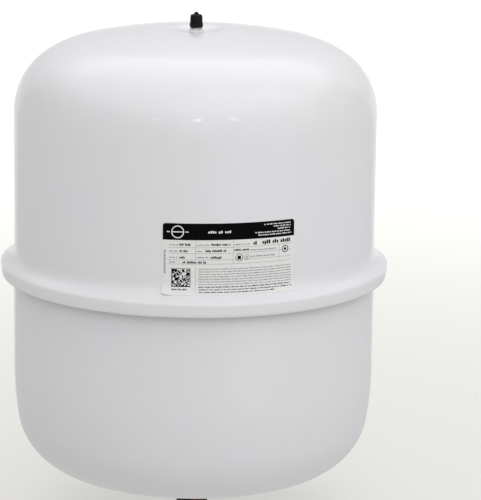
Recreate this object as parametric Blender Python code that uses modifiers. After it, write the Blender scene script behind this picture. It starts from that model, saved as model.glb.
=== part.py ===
"""Expansion vessel of a sealed heating system, 24 litre class, with a 3/4 inch connection.

Two pressed steel halves are joined by a rolled seam that clamps a rubber diaphragm. The water
connection is at the bottom, and the gas valve stands in a shallow dish at the top.
The frame's origin is the centre of the connection's end face. +Z points up to the gas valve,
and -Y is the front, where the rating label is. Everything turns about the Z axis.
"""
import math

import bmesh
import bpy

MM = 0.001
GAP = 0.3 * MM

# Pressed steel halves. Heights are counted from the seam's middle plane.
SHEET = 1.2 * MM
UPPER_RADIUS = 150.3 * MM
UPPER_STRAIGHT = 132.3 * MM
UPPER_KNUCKLE = 56.4 * MM
UPPER_KNUCKLE_TURN = 57.4
UPPER_SHOULDER = 82.3 * MM
UPPER_SHOULDER_TURN = 78.1
LOWER_RADIUS = 151.0 * MM
LOWER_STRAIGHT = 81.7 * MM
LOWER_TAPER = 284.0 * MM
LOWER_TAPER_TURN = 9.1
LOWER_KNUCKLE = 54.5 * MM
LOWER_KNUCKLE_TURN = 71.7
SHELL_STEPS = 36

# Rolled seam
SEAM_RADIUS = 162.0 * MM
SEAM_TAPER = 0.5 * MM
SEAM_HALF_HEIGHT = 5.7 * MM
SEAM_TOP_ROUND = 2.2 * MM
SEAM_FOOT_ROUND = 1.8 * MM
SEAM_SLOPE = 35.0
SEAM_FILLET = 15.0 * MM
FOLD_END_RADIUS = 152.4 * MM
FLANGE_TIP_RADIUS = 159.8 * MM
FLANGE_FILLET = 1.5 * MM

# Diaphragm
RUBBER = 1.8 * MM
RUBBER_CLEARANCE = 0.7 * MM
BEAD_INNER = 152.4 * MM
BEAD_OUTER = 159.6 * MM
BEAD_TOP = 5.4 * MM
BEAD_ROUND = 1.6 * MM
DIAPHRAGM_CROWN_RADIUS = 100.0 * MM

# Water connection: 3/4 inch pipe thread
NIPPLE_REACH = 22.8 * MM
NIPPLE_BORE = 10.0 * MM
NIPPLE_NECK = 13.1 * MM
NIPPLE_CHAMFER = 1.6 * MM
NIPPLE_THREAD_TOP = 16.0 * MM
PIPE_MAJOR = 13.22 * MM
PIPE_MINOR = 12.06 * MM
PIPE_PITCH = 1.814 * MM
NIPPLE_STEPS = 24
BOSS_RADIUS = 19.0 * MM
BOSS_HEIGHT = 3.8 * MM
BOSS_STEP_RADIUS = 15.6 * MM

# Gas valve. Heights are counted from the dish's floor.
DISH_RADIUS = 22.5 * MM
DISH_DEPTH = 5.6 * MM
VALVE_HOLE = 4.6 * MM
VALVE_BOSS_RADIUS = 6.5 * MM
VALVE_BOSS_TOP = 3.6 * MM
STEM_BASE_RADIUS = 5.0 * MM
STEM_BASE_TOP = 6.0 * MM
STEM_SHANK_RADIUS = 4.2 * MM
STEM_FOOT = -5.0 * MM
STEM_TOP = 13.8 * MM
STEM_MAJOR = 3.85 * MM
STEM_MINOR = 3.4 * MM
VALVE_PITCH = 0.794 * MM
STEM_BORE = 2.65 * MM
STEM_THROAT = 1.95 * MM
STEM_SEAT = 5.0 * MM
STEM_THREAD_START = 7.6 * MM
VALVE_STEPS = 16

# Valve core, inside the stem
CORE_STEPS = 12
PLUG_TOP = 12.4 * MM
PLUG_FOOT = 9.4 * MM
PLUG_RADIUS = 2.5 * MM
PLUG_BORE = 1.15 * MM
BARREL_TOP = 9.1 * MM
BARREL_FOOT = 5.6 * MM
BARREL_RADIUS = 2.1 * MM
BARREL_BORE = 1.05 * MM
BARREL_LIP = 0.7 * MM
SEAL_RADIUS = 2.55 * MM
PIN_RADIUS = 0.5 * MM
PIN_TOP = 13.4 * MM
PIN_COLLAR_TOP = 9.0 * MM
PIN_COLLAR_RADIUS = 0.92 * MM
CUP_TOP = 4.7 * MM
CUP_FOOT = 3.2 * MM
CUP_RADIUS = 1.6 * MM
SPRING_RADIUS = 0.8 * MM
SPRING_WIRE = 0.1 * MM
SPRING_TURNS = 4

# Dust cap over the valve
CAP_FOOT = 6.4 * MM
CAP_RADIUS = 5.0 * MM
CAP_SHOULDER = 14.6 * MM
CAP_CROWN = 16.7 * MM
KNOB_RADIUS = 1.9 * MM
KNOB_TOP = 18.7 * MM
COLLAR_RADIUS = 5.75 * MM
COLLAR_HEIGHT = 3.2 * MM
COLLAR_SIDES = 10
CAP_BORE = 4.1 * MM
CAP_BORE_TOP = 15.4 * MM
CAP_THREAD_TIP = 3.62 * MM
CAP_THREAD_TURNS = 4.0
WASHER_RADIUS = 3.7 * MM
WASHER_THICKNESS = 1.0 * MM

# Rating label, on the front of the upper half
LABEL_TURN = 41.3
LABEL_CENTRE_TURN = 11.1
LABEL_FOOT = 11.5 * MM
LABEL_TOP = 69.0 * MM
LABEL_THICKNESS = 0.2 * MM
LABEL_STEPS = 10


def rad(degrees):
    return math.radians(degrees)


def polar(centre, radius, degrees):
    """The point at this angle on a circle, in the (radius, height) half plane."""
    return centre[0] + radius * math.cos(rad(degrees)), centre[1] + radius * math.sin(rad(degrees))


def arc(centre, radius, start, end, steps):
    """Points along an arc in the (radius, height) half plane, both ends included."""
    turn = (end - start) / steps
    return [polar(centre, radius, start + turn * i) for i in range(steps + 1)]


class PressedHead:
    """Three tangent arcs that close a straight body: two of the knuckle, then a spherical crown."""

    def __init__(self, body_radius, straight, first_radius, first_turn, second_radius, second_turn):
        self.turns = (0.0, first_turn, second_turn, 90.0)
        first_centre = (body_radius - first_radius, straight)
        second_centre = polar(first_centre, first_radius - second_radius, first_turn)
        end = polar(second_centre, second_radius, second_turn)
        crown_radius = end[0] / math.cos(rad(second_turn))
        crown_centre = (0.0, end[1] - crown_radius * math.sin(rad(second_turn)))
        self.centres = (first_centre, second_centre, crown_centre)
        self.radii = (first_radius, second_radius, crown_radius)
        self.height = crown_centre[1] + crown_radius

    def crown_height(self, radius, inset=0.0):
        """How high the crown stands at this radius."""
        crown_radius = self.radii[2] - inset
        return self.centres[2][1] + math.sqrt(crown_radius ** 2 - radius ** 2)

    def crown_turn(self, radius, inset=0.0):
        """The crown's angle at this radius, in degrees."""
        return math.degrees(math.acos(radius / (self.radii[2] - inset)))

    def knuckle(self, inset, steps):
        """Points from the crown's edge down to the straight body, without the crown's edge itself."""
        points = []
        for part in (1, 0):
            start, end = self.turns[part + 1], self.turns[part]
            points += arc(self.centres[part], self.radii[part] - inset, start, end, steps[part])[1:]
        return points

    def crown(self, from_radius, to_radius, inset, steps):
        """Points along the crown, from one radius to another."""
        start, end = self.crown_turn(from_radius, inset), self.crown_turn(to_radius, inset)
        return arc(self.centres[2], self.radii[2] - inset, start, end, steps)

    def crown_edge(self, inset=0.0):
        """The radius at which the crown ends."""
        return (self.radii[2] - inset) * math.cos(rad(self.turns[2]))


UPPER_HEAD = PressedHead(UPPER_RADIUS, UPPER_STRAIGHT, UPPER_KNUCKLE, UPPER_KNUCKLE_TURN,
                         UPPER_SHOULDER, UPPER_SHOULDER_TURN)
LOWER_HEAD = PressedHead(LOWER_RADIUS, LOWER_STRAIGHT, LOWER_TAPER, LOWER_TAPER_TURN,
                         LOWER_KNUCKLE, LOWER_KNUCKLE_TURN)
SEAM_Z = NIPPLE_REACH + LOWER_HEAD.height
DISH_FLOOR_Z = SEAM_Z + UPPER_HEAD.height - DISH_DEPTH


def start_clean():
    """Remove whatever the scene holds."""
    for thing in list(bpy.data.objects):
        bpy.data.objects.remove(thing, do_unlink=True)


def new_collection(name):
    collection = bpy.data.collections.new(name)
    bpy.context.scene.collection.children.link(collection)
    return collection


def finish_material(name, colour, roughness, metallic=0.0):
    """A plain Principled material."""
    material = bpy.data.materials.new(name)
    material.use_nodes = True
    shader = material.node_tree.nodes["Principled BSDF"]
    shader.inputs["Base Color"].default_value = (*colour, 1.0)
    shader.inputs["Roughness"].default_value = roughness
    shader.inputs["Metallic"].default_value = metallic
    return material


def place(name, mesh, collection, material, height=0.0, parent=None):
    """An object on the vessel's axis, at a height over its parent."""
    thing = bpy.data.objects.new(name, mesh)
    thing.location = (0.0, 0.0, height)
    thing.parent = parent
    if material:
        thing.data.materials.append(material)
    collection.objects.link(thing)
    return thing


def axis_empty(name, height, parent=None):
    """An empty on the vessel's axis that carries the pieces of one body."""
    empty = bpy.data.objects.new(name, None)
    empty.location = (0.0, 0.0, height)
    empty.parent = parent
    empty.empty_display_size = 10 * MM
    bpy.context.scene.collection.objects.link(empty)
    return empty


def profile_mesh(name, points, closed):
    """A mesh of edges through (radius, height) points, in the XZ plane."""
    count = len(points)
    edges = [(i, i + 1) for i in range(count - 1)]
    if closed:
        edges.append((count - 1, 0))
    mesh = bpy.data.meshes.new(name)
    mesh.from_pydata([(radius, 0.0, height) for radius, height in points], edges, [])
    return mesh


def turn(thing, steps, degrees=360.0):
    """Sweep an object's profile about the Z axis."""
    screw = thing.modifiers.new("turn", "SCREW")
    screw.axis = "Z"
    screw.angle = rad(degrees)
    screw.steps = steps
    screw.render_steps = steps
    screw.use_merge_vertices = True
    screw.merge_threshold = 0.000001
    screw.use_smooth_shade = True


def thicken(thing, thickness):
    """Give a sheet its thickness on the side away from its normals."""
    solid = thing.modifiers.new("thickness", "SOLIDIFY")
    solid.thickness = thickness
    solid.offset = -1.0
    solid.use_even_offset = True


def combine(thing, tool, operation):
    """Join a tool to a piece, or cut it away."""
    boolean = thing.modifiers.new(operation.lower(), "BOOLEAN")
    boolean.operation = operation
    boolean.solver = "EXACT"
    boolean.object = tool


def as_tool(thing):
    """Mark an object as a tool, which isn't a piece of the vessel."""
    thing.hide_render = True
    thing.display_type = "WIRE"
    return thing


def thread_ridge(name, pitch, turns, base_radius, tip_radius, steps, start):
    """The ridge of a right-hand thread: a four-sided section that rises out of the core and sinks back."""
    base_half, tip_half = 0.44 * pitch, 0.1 * pitch
    lead_in = steps // 4
    buried = 0.15
    count = round(turns * steps)
    ridge = bmesh.new()
    rings = []
    for i in range(count + 1):
        rise = max(min(i, count - i, lead_in) / lead_in, buried)
        tip = base_radius + (tip_radius - base_radius) * rise
        slant = base_half + (tip_half - base_half) * rise
        turned = math.tau * i / steps
        height = start + pitch * i / steps
        section = ((base_radius, -base_half), (tip, -slant), (tip, slant), (base_radius, base_half))
        across = math.cos(turned)
        along = math.sin(turned)
        rings.append([ridge.verts.new((radius * across, radius * along, height + shift))
                      for radius, shift in section])
    for ring, following in zip(rings, rings[1:]):
        for side in range(4):
            beside = (side + 1) % 4
            ridge.faces.new((ring[side], ring[beside], following[beside], following[side]))
    ridge.faces.new(rings[0])
    ridge.faces.new(rings[-1])
    bmesh.ops.recalc_face_normals(ridge, faces=ridge.faces)
    mesh = bpy.data.meshes.new(name)
    ridge.to_mesh(mesh)
    ridge.free()
    return mesh


def dish_height(radius):
    """The outer surface of the dish around the valve, over the seam's middle plane."""
    return UPPER_HEAD.crown_height(radius) - DISH_DEPTH * (1.0 - (radius / DISH_RADIUS) ** 2)


def seam_side(outset):
    """The upper half's side from its fillet to the top of the seam's band, moved out by outset."""
    slope_turn = 90.0 - SEAM_SLOPE
    round_centre = (SEAM_RADIUS - SEAM_TOP_ROUND, SEAM_HALF_HEIGHT - 1.1 * MM)
    slope_foot = polar(round_centre, SEAM_TOP_ROUND, slope_turn)
    fillet_centre_radius = UPPER_RADIUS + SEAM_FILLET
    slope_top_radius = fillet_centre_radius - SEAM_FILLET * math.cos(rad(slope_turn))
    slope_top = slope_foot[1] + (slope_foot[0] - slope_top_radius) * math.tan(rad(SEAM_SLOPE))
    fillet_centre = (fillet_centre_radius, slope_top + SEAM_FILLET * math.sin(rad(slope_turn)))
    fillet = arc(fillet_centre, SEAM_FILLET - outset, 180.0, 180.0 + slope_turn, 3)
    return fillet, arc(round_centre, SEAM_TOP_ROUND + outset, slope_turn, 0.0, 2)


def upper_outline():
    """The upper half's outer surface, from the valve's hole to the folded edge under the seam."""
    dish_steps = 5
    dish_radii = [VALVE_HOLE + (DISH_RADIUS - VALVE_HOLE) * i / dish_steps for i in range(dish_steps + 1)]
    dish = [(radius, dish_height(radius)) for radius in dish_radii]
    crown = UPPER_HEAD.crown(DISH_RADIUS, UPPER_HEAD.crown_edge(), 0.0, 3)[1:]
    fillet, top_round = seam_side(0.0)
    foot_centre = (SEAM_RADIUS - SEAM_TAPER - SEAM_FOOT_ROUND, SEAM_FOOT_ROUND - SEAM_HALF_HEIGHT)
    foot_round = arc(foot_centre, SEAM_FOOT_ROUND, 0.0, -90.0, 2)
    fold = [(FOLD_END_RADIUS, -SEAM_HALF_HEIGHT)]
    return dish + crown + UPPER_HEAD.knuckle(0.0, (4, 2)) + fillet + top_round + foot_round + fold


def flange_underside():
    """The height of the lower half's flange, which lies on the folded edge."""
    return SHEET + GAP - SEAM_HALF_HEIGHT


def flange_bend(inset, start, steps):
    """The bend between the lower half's flange and its body, moved in by inset."""
    centre = (LOWER_RADIUS + FLANGE_FILLET, flange_underside() - FLANGE_FILLET)
    return arc(centre, FLANGE_FILLET + inset, start, 180.0, steps)


def lower_side(inset, crown_points, knuckle_steps):
    """The lower half's body and head from the bend down, moved in by inset."""
    upwards = crown_points + LOWER_HEAD.knuckle(inset, knuckle_steps)
    return [(radius, -height) for radius, height in reversed(upwards)]


def lower_outline():
    """The lower half's outer surface, from the flange's tip to the connection's hole."""
    hole = NIPPLE_NECK + 0.4 * MM
    crown = LOWER_HEAD.crown(hole, LOWER_HEAD.crown_edge(), 0.0, 3)
    tip = [(FLANGE_TIP_RADIUS, flange_underside())]
    return tip + flange_bend(0.0, 90.0, 2) + lower_side(0.0, crown, (2, 4))


def make_sheet_piece(name, outline, steps, thickness, look, collection, parent):
    """A turned sheet, with its outline on the outer side and its origin on the seam's middle plane."""
    piece = place(name, profile_mesh(name, outline, False), collection, look, parent=parent)
    turn(piece, steps)
    thicken(piece, thickness)
    return piece


def make_turned_piece(name, outline, steps, look, collection, parent, height=0.0, closed=True):
    """A solid of revolution from a profile that is closed, or that starts and ends on the axis."""
    piece = place(name, profile_mesh(name, outline, closed), collection, look, height, parent)
    turn(piece, steps)
    return piece


def tube_outline(top, foot, outer, inner):
    """The section of a plain ring."""
    return [(outer, top), (outer, foot), (inner, foot), (inner, top)]


def rounded_section(outer, inner, top, foot, corner):
    """The section of a ring with rounded edges, outer side first."""
    corners = (((outer - corner, top - corner), 90.0), ((outer - corner, foot + corner), 0.0),
               ((inner + corner, foot + corner), -90.0), ((inner + corner, top - corner), -180.0))
    points = []
    for centre, start in corners:
        points += arc(centre, corner, start, start - 90.0, 1)
    return points


def make_shells(collection, seam):
    white = finish_material("white_coating", (0.80, 0.81, 0.81), 0.28)
    make_sheet_piece("upper_shell", upper_outline(), SHELL_STEPS, SHEET, white, collection, seam)
    make_sheet_piece("lower_shell", lower_outline(), SHELL_STEPS, SHEET, white, collection, seam)


def make_diaphragm(collection, seam, stroke):
    """The diaphragm in three pieces: its clamped bead, its rolling wall and its moving crown."""
    rubber = finish_material("black_rubber", (0.03, 0.03, 0.032), 0.7)
    bead_foot = flange_underside() + SHEET + GAP
    bead = rounded_section(BEAD_OUTER, BEAD_INNER, BEAD_TOP, bead_foot, BEAD_ROUND)
    make_turned_piece("diaphragm_bead", bead, SHELL_STEPS, rubber, collection, seam)
    inset = SHEET + RUBBER_CLEARANCE
    edge = LOWER_HEAD.crown_edge(inset)
    wall_crown = LOWER_HEAD.crown(DIAPHRAGM_CROWN_RADIUS + GAP, edge, inset, 1)
    wall = flange_bend(inset, 108.0, 2) + lower_side(inset, wall_crown, (1, 4))
    make_sheet_piece("diaphragm_wall", wall, SHELL_STEPS, RUBBER, rubber, collection, seam)
    crown = LOWER_HEAD.crown(0.0, DIAPHRAGM_CROWN_RADIUS, inset, 3)
    crown = [(radius, -height) for radius, height in reversed(crown)]
    make_sheet_piece("diaphragm_crown", crown, SHELL_STEPS, RUBBER, rubber, collection, stroke)


def nipple_outline():
    """The connection's section, without its thread."""
    top = NIPPLE_REACH + SHEET
    end_radius = PIPE_MAJOR - NIPPLE_CHAMFER
    relief = NIPPLE_NECK - PIPE_MINOR
    bore_chamfer = 0.5 * MM
    return [
        (NIPPLE_NECK, top),
        (NIPPLE_NECK, NIPPLE_THREAD_TOP + relief),
        (PIPE_MINOR, NIPPLE_THREAD_TOP),
        (PIPE_MINOR, PIPE_MINOR - end_radius),
        (end_radius, 0.0),
        (NIPPLE_BORE + bore_chamfer, 0.0),
        (NIPPLE_BORE, bore_chamfer),
        (NIPPLE_BORE, top),
    ]


def boss_outline():
    """The section of the raised ring that reinforces the shell around the connection."""
    hole = NIPPLE_NECK + GAP
    foot = NIPPLE_REACH - BOSS_HEIGHT
    round_off = 1.4 * MM
    shell_foot = LOWER_HEAD.height + NIPPLE_REACH
    inner_top = shell_foot - LOWER_HEAD.crown_height(hole) - GAP
    outer_top = shell_foot - LOWER_HEAD.crown_height(BOSS_RADIUS) - GAP
    step_height = 1.0 * MM
    rim = arc((BOSS_RADIUS - round_off, foot + step_height + round_off), round_off, 0.0, -90.0, 3)
    step = [(BOSS_STEP_RADIUS, foot + step_height), (BOSS_STEP_RADIUS - 0.4 * MM, foot)]
    return [(BOSS_RADIUS, outer_top)] + rim + step + [(hole, foot), (hole, inner_top)]


def make_connection(collection, tools, vessel):
    white = bpy.data.materials["white_coating"]
    steel = finish_material("bare_steel", (0.10, 0.075, 0.06), 0.6, 0.8)
    outline = nipple_outline()
    nipple = make_turned_piece("connection_nipple", outline, NIPPLE_STEPS, steel, collection, vessel)
    start = 0.8 * PIPE_PITCH
    turns = (NIPPLE_THREAD_TOP - start) / PIPE_PITCH - 0.5
    buried_base = PIPE_MINOR - 0.25 * MM
    ridge = thread_ridge("pipe_thread", PIPE_PITCH, turns, buried_base, PIPE_MAJOR, NIPPLE_STEPS, start)
    combine(nipple, as_tool(place("pipe_thread", ridge, tools, steel, parent=vessel)), "UNION")
    make_turned_piece("connection_boss", boss_outline(), NIPPLE_STEPS, white, collection, vessel)


def stem_outline():
    """The valve stem's section, without its thread."""
    rim_round = 0.7 * MM
    rim_centre = (STEM_MINOR - rim_round, STEM_TOP - rim_round)
    base_foot = SHEET / 2
    return arc(rim_centre, rim_round, 90.0, 0.0, 2) + [
        (STEM_MINOR, STEM_BASE_TOP + 0.5 * MM),
        (STEM_BASE_RADIUS - 0.3 * MM, STEM_BASE_TOP),
        (STEM_BASE_RADIUS, STEM_BASE_TOP - 0.3 * MM),
        (STEM_BASE_RADIUS, base_foot),
        (STEM_SHANK_RADIUS, base_foot),
        (STEM_SHANK_RADIUS, STEM_FOOT),
        (STEM_THROAT, STEM_FOOT),
        (STEM_THROAT, STEM_SEAT - (STEM_BORE - STEM_THROAT)),
        (STEM_BORE, STEM_SEAT),
        (STEM_BORE, STEM_TOP),
    ]


def make_valve(collection, tools, valve):
    white = bpy.data.materials["white_coating"]
    plated = finish_material("zinc_plate", (0.58, 0.58, 0.52), 0.3, 1.0)
    ring = rounded_section(VALVE_BOSS_RADIUS, STEM_BASE_RADIUS + GAP, VALVE_BOSS_TOP, 2 * GAP, 0.3 * MM)
    make_turned_piece("valve_boss", ring, VALVE_STEPS, white, collection, valve)
    stem = make_turned_piece("valve_stem", stem_outline(), VALVE_STEPS, plated, collection, valve)
    turns = (STEM_TOP - STEM_THREAD_START) / VALVE_PITCH - 1.0
    buried_base = STEM_MINOR - 0.15 * MM
    ridge = thread_ridge("stem_thread", VALVE_PITCH, turns, buried_base, STEM_MAJOR, VALVE_STEPS,
                         STEM_THREAD_START)
    combine(stem, as_tool(place("stem_thread", ridge, tools, plated, parent=valve)), "UNION")


def barrel_outline():
    """The core's barrel: an open top, and a foot with a small lip that the spring stands on."""
    lip_top = BARREL_FOOT + 0.35 * MM
    chamfer = 0.3 * MM
    return [
        (BARREL_RADIUS, BARREL_TOP),
        (BARREL_RADIUS, BARREL_FOOT + chamfer),
        (BARREL_RADIUS - chamfer, BARREL_FOOT),
        (BARREL_LIP, BARREL_FOOT),
        (BARREL_LIP, lip_top),
        (BARREL_BORE, lip_top),
        (BARREL_BORE, BARREL_TOP),
    ]


def pin_outline():
    """The core's pin, with its pressing head, its collar over the spring and its foot in the cup."""
    head_radius = 0.75 * MM
    collar_foot = PIN_COLLAR_TOP - 0.4 * MM
    return [
        (0.0, PIN_TOP),
        (head_radius, PIN_TOP - 0.1 * MM),
        (head_radius, PIN_TOP - 0.6 * MM),
        (PIN_RADIUS, PIN_TOP - 0.8 * MM),
        (PIN_RADIUS, PIN_COLLAR_TOP),
        (PIN_COLLAR_RADIUS, PIN_COLLAR_TOP),
        (PIN_COLLAR_RADIUS, collar_foot),
        (PIN_RADIUS, collar_foot),
        (PIN_RADIUS, CUP_TOP - 0.4 * MM),
        (0.0, CUP_TOP - 0.4 * MM),
    ]


def make_spring(collection, brass, valve):
    """The core's spring, round the pin and inside the barrel."""
    foot = BARREL_FOOT + 0.6 * MM
    top = PIN_COLLAR_TOP - 0.65 * MM
    points_per_turn = 10
    count = SPRING_TURNS * points_per_turn
    coil = bpy.data.curves.new("valve_core_spring", "CURVE")
    coil.dimensions = "3D"
    coil.bevel_depth = SPRING_WIRE
    coil.bevel_resolution = 1
    coil.use_fill_caps = True
    coil.render_resolution_u = 0
    line = coil.splines.new("POLY")
    line.points.add(count)
    for i, point in enumerate(line.points):
        turned = math.tau * i / points_per_turn
        height = foot + (top - foot) * i / count
        point.co = (SPRING_RADIUS * math.cos(turned), SPRING_RADIUS * math.sin(turned), height, 1.0)
    place("valve_core_spring", coil, collection, brass, parent=valve)


def make_core(collection, valve, press):
    brass = finish_material("brass", (0.62, 0.45, 0.18), 0.35, 1.0)
    seal_red = finish_material("seal_red", (0.45, 0.05, 0.04), 0.5)
    rubber = bpy.data.materials["black_rubber"]
    plug = tube_outline(PLUG_TOP, PLUG_FOOT, PLUG_RADIUS, PLUG_BORE)
    make_turned_piece("valve_core_plug", plug, CORE_STEPS, brass, collection, valve)
    make_turned_piece("valve_core_barrel", barrel_outline(), CORE_STEPS, brass, collection, valve)
    seal_top = BARREL_TOP - 1.2 * MM
    seal_foot = BARREL_TOP - 2.4 * MM
    ring = tube_outline(seal_top, seal_foot, SEAL_RADIUS, BARREL_RADIUS + 0.08 * MM)
    make_turned_piece("valve_core_seal", ring, CORE_STEPS, seal_red, collection, valve)
    make_spring(collection, brass, valve)
    make_turned_piece("valve_core_pin", pin_outline(), CORE_STEPS, brass, collection, press, closed=False)
    pocket = PIN_RADIUS + 0.1 * MM
    pocket_floor = CUP_TOP - 0.5 * MM
    cup = [(pocket, CUP_TOP), (CUP_RADIUS, CUP_TOP), (CUP_RADIUS, CUP_FOOT), (0.0, CUP_FOOT),
           (0.0, pocket_floor), (pocket, pocket_floor)]
    make_turned_piece("valve_core_cup", cup, CORE_STEPS, brass, collection, press)
    disc = tube_outline(CUP_TOP + 0.6 * MM, CUP_TOP + 0.1 * MM, CUP_RADIUS, PIN_RADIUS + 0.1 * MM)
    make_turned_piece("valve_core_disc", disc, CORE_STEPS, rubber, collection, press)


def cap_outline():
    """The dust cap's outside, from the knob's top down to its open foot, as a full solid."""
    knob_round = 0.9 * MM
    knob = arc((KNOB_RADIUS - knob_round, KNOB_TOP - knob_round), knob_round, 90.0, 0.0, 2)
    crown = [(KNOB_RADIUS, CAP_CROWN), (CAP_RADIUS - 1.3 * MM, CAP_CROWN - 0.4 * MM)]
    shoulder = [(CAP_RADIUS - 0.4 * MM, CAP_SHOULDER + 0.9 * MM), (CAP_RADIUS, CAP_SHOULDER)]
    return [(0.0, KNOB_TOP)] + knob + crown + shoulder + [(CAP_RADIUS, CAP_FOOT), (0.0, CAP_FOOT)]


def make_collar(tools, parent, plastic):
    """The flat-sided collar round the dust cap's foot."""
    mesh = bpy.data.meshes.new("cap_collar")
    collar = bmesh.new()
    bmesh.ops.create_cone(collar, cap_ends=True, segments=COLLAR_SIDES, radius1=COLLAR_RADIUS,
                          radius2=COLLAR_RADIUS - 0.15 * MM, depth=COLLAR_HEIGHT)
    collar.to_mesh(mesh)
    collar.free()
    return as_tool(place("cap_collar", mesh, tools, plastic, CAP_FOOT + COLLAR_HEIGHT / 2, parent))


def make_cap(collection, tools, lift, spin):
    plastic = finish_material("black_plastic", (0.03, 0.03, 0.03), 0.45)
    rubber = bpy.data.materials["black_rubber"]
    washer_foot = STEM_TOP + GAP
    washer = tube_outline(washer_foot + WASHER_THICKNESS, washer_foot, WASHER_RADIUS, PLUG_BORE)
    make_turned_piece("valve_cap_washer", washer, VALVE_STEPS, rubber, collection, lift)
    cap = make_turned_piece("valve_cap", cap_outline(), VALVE_STEPS, plastic, collection, spin, closed=False)
    combine(cap, make_collar(tools, spin, plastic), "UNION")
    bore_foot = CAP_FOOT - 1.0 * MM
    mouth = CAP_BORE + 0.3 * MM
    bore = [(0.0, CAP_BORE_TOP), (CAP_BORE, CAP_BORE_TOP), (CAP_BORE, CAP_FOOT + 0.5 * MM),
            (mouth, CAP_FOOT), (mouth, bore_foot), (0.0, bore_foot)]
    bore_tool = place("cap_bore", profile_mesh("cap_bore", bore, False), tools, plastic, parent=spin)
    turn(as_tool(bore_tool), VALVE_STEPS)
    combine(cap, bore_tool, "DIFFERENCE")
    between_the_stem_ridges = STEM_THREAD_START + 1.5 * VALVE_PITCH
    ridge = thread_ridge("cap_thread", VALVE_PITCH, CAP_THREAD_TURNS, CAP_BORE + 0.15 * MM, CAP_THREAD_TIP,
                         VALVE_STEPS, between_the_stem_ridges)
    combine(cap, as_tool(place("cap_thread", ridge, tools, plastic, parent=spin)), "UNION")


def make_label(collection, seam):
    """The rating label: a film on the straight body that runs out onto the seam's fillet."""
    paper = finish_material("label_film", (0.78, 0.79, 0.78), 0.4)
    outset = GAP + LABEL_THICKNESS
    radius = UPPER_RADIUS + outset
    fillet, _ = seam_side(outset)
    outline = [(radius, LABEL_TOP)] + [point for point in fillet if point[1] > LABEL_FOOT]
    label = place("rating_label", profile_mesh("rating_label", outline, False), collection, paper, parent=seam)
    label.rotation_euler.z = rad(-90.0 + LABEL_CENTRE_TURN - LABEL_TURN / 2)
    turn(label, LABEL_STEPS, LABEL_TURN)
    thicken(label, LABEL_THICKNESS)


def main():
    start_clean()
    collection = new_collection("expansion_vessel")
    tools = new_collection("tools")
    vessel = axis_empty("vessel", 0.0)
    seam = axis_empty("seam_plane", SEAM_Z, vessel)
    stroke = axis_empty("diaphragm_stroke", SEAM_Z, vessel)
    valve = axis_empty("valve_floor", DISH_FLOOR_Z, vessel)
    press = axis_empty("valve_pin_press", DISH_FLOOR_Z, vessel)
    lift = axis_empty("valve_cap_lift", DISH_FLOOR_Z, vessel)
    spin = axis_empty("valve_cap_turn", 0.0, lift)
    make_shells(collection, seam)
    make_diaphragm(collection, seam, stroke)
    make_connection(collection, tools, vessel)
    make_valve(collection, tools, valve)
    make_core(collection, valve, press)
    make_cap(collection, tools, lift, spin)
    make_label(collection, seam)


main()
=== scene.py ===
"""Looks of the expansion vessel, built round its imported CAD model.

The vessel stands on its connection's end face at the origin, with +Z up and -Y to the front. Its
pieces are modelled in millimetres and scaled to metres when they are finished. Heights of the
steel halves count from the seam's middle, and heights of the valve from the bottom of its dish.
"""
import random
from math import asin, ceil, cos, hypot, pi, radians as rad, sin, sqrt, tan, tau

import bmesh
import bpy
from mathutils import Matrix, Vector, noise


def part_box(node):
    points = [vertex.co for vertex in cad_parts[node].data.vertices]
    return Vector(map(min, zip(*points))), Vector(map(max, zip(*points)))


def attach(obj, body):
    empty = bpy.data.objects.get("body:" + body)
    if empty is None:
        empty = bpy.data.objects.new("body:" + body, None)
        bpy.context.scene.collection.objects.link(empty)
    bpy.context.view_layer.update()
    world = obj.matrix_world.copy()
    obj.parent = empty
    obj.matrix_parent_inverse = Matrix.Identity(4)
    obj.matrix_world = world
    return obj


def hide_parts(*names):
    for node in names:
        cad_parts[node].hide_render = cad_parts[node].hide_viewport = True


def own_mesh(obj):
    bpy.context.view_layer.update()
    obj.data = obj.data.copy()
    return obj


MM = 0.001
ON_AXIS = 0.0001

# Pressed steel halves
SHEET = 1.2
UPPER_RADIUS = 150.3
LOWER_RADIUS = 151.0
SHELL_SEGMENTS = 256

# Rolled seam
SEAM_RADIUS = 162.0
SEAM_TAPER = 0.9
SEAM_HALF_HEIGHT = 5.7
SEAM_TOP_ROUND = 3.4
SEAM_TOP_DROP = 1.7
SEAM_FOOT_ROUND = 3.2
SEAM_SLOPE = 35.0
SEAM_FILLET = 15.0
SEAM_WAVE = 0.22
SEAM_WAVE_LIMIT = 0.3
SEAM_WAVE_INSET = 6.0
SEAM_WAVE_BLEND = 5.0
FOLD_END_RADIUS = 151.8
FLANGE_TIP_RADIUS = 158.8
FLANGE_FILLET = 1.5
FLANGE_GAP = 0.3
FLANGE_UNDER = SHEET + FLANGE_GAP - SEAM_HALF_HEIGHT

# Connection
NIPPLE_BORE = 10.0
NIPPLE_NECK = 13.1
NIPPLE_CHAMFER = 1.6
NIPPLE_THREAD_TOP = 16.0
PIPE_MAJOR = 13.22
PIPE_MINOR = 12.06
PIPE_PITCH = 1.814
NIPPLE_SEGMENTS = 96
BOSS_RADIUS = 19.0
BOSS_HEIGHT = 3.8

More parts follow.
